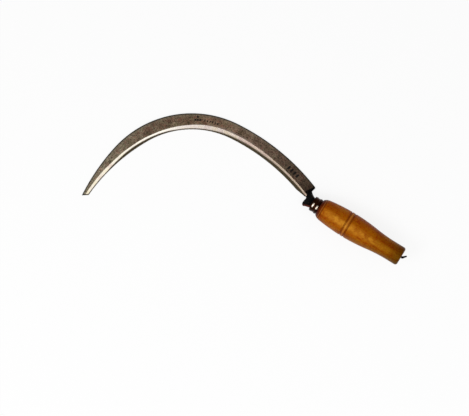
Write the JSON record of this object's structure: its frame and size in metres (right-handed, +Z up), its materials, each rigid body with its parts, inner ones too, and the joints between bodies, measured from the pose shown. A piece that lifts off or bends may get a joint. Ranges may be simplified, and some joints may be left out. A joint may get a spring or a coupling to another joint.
{
  "type": "serrated sickle",
  "caption": "Serrated sickle: a curved toothed steel blade welded to a cranked tang that runs through a ferrule and a turned wooden handle, for cutting grass and grain by hand.",
  "frame": {"origin": "middle of the bounding box, on the plane of the blade's flat side", "axes": "+X runs forward from the handle to the blade, +Y towards the inside of the blade's curve, +Z up with the ground bevel facing up"},
  "size_m": [0.4016, 0.1862, 0.0397],
  "materials": {
    "blade_steel": "dull grey-brown forge finish on the faces, bright ground bevel along the toothed edge",
    "black_iron": "forged, black lacquer, satin",
    "bright_steel": "bright polished",
    "varnished_wood": "turned hardwood, amber varnish, semi-gloss"
  },
  "bodies": {
    "root": {"blade": "blade_steel", "tang": "black_iron", "ferrule": "bright_steel", "handle": "varnished_wood"}
  },
  "joints": []
}
